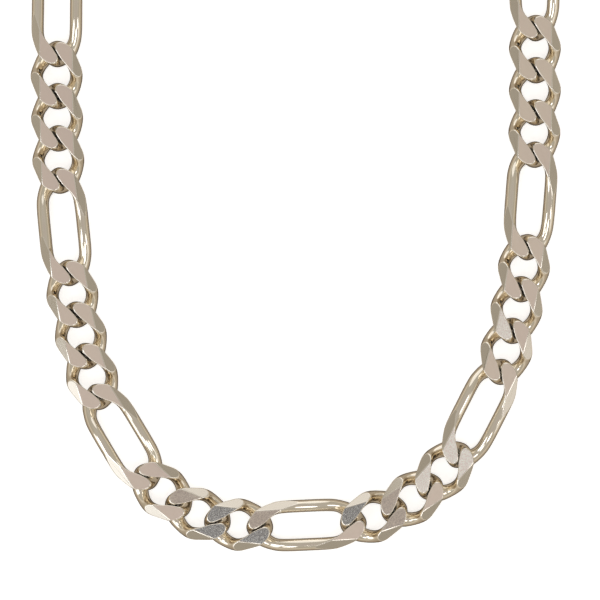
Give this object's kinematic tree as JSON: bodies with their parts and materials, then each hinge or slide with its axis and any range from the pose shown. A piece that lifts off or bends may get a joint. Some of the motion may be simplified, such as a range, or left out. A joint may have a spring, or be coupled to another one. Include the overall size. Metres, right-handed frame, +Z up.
{
  "type": "figaro chain necklace",
  "caption": "Flat-lying silver chain necklace of curbed links, short ones between long ones, with diamond-cut bevelled faces and a closed clasp.",
  "frame": {"origin": "middle of the loop's outline, on the surface it lies on", "axes": "X across the loop, Y from the front of the chain back to its clasp, Z up from the surface, with the links' cut faces towards +Z"},
  "size_m": [0.1122, 0.2081, 0.004],
  "materials": {
    "silver": "polished sterling silver, ground flat with diamond-cut bevels"
  },
  "bodies": {
    "root": {"link_01": "silver", "link_02": "silver", "link_03": "silver", "link_04": "silver", "link_05": "silver", "link_06": "silver", "link_07": "silver", "link_08": "silver", "link_09": "silver", "link_10": "silver", "link_11": "silver", "link_12": "silver", "link_13": "silver", "link_14": "silver", "link_15": "silver", "link_16": "silver", "link_17": "silver", "link_18": "silver", "link_19": "silver", "link_20": "silver", "link_21": "silver", "link_22": "silver", "link_23": "silver", "link_24": "silver", "link_25": "silver", "link_26": "silver", "link_27": "silver", "link_28": "silver", "link_29": "silver", "link_30": "silver", "link_31": "silver", "link_32": "silver", "link_33": "silver", "link_34": "silver", "link_35": "silver", "link_36": "silver", "link_37": "silver", "link_38": "silver", "link_39": "silver", "link_40": "silver", "link_41": "silver", "clasp": "silver"}
  },
  "joints": []
}
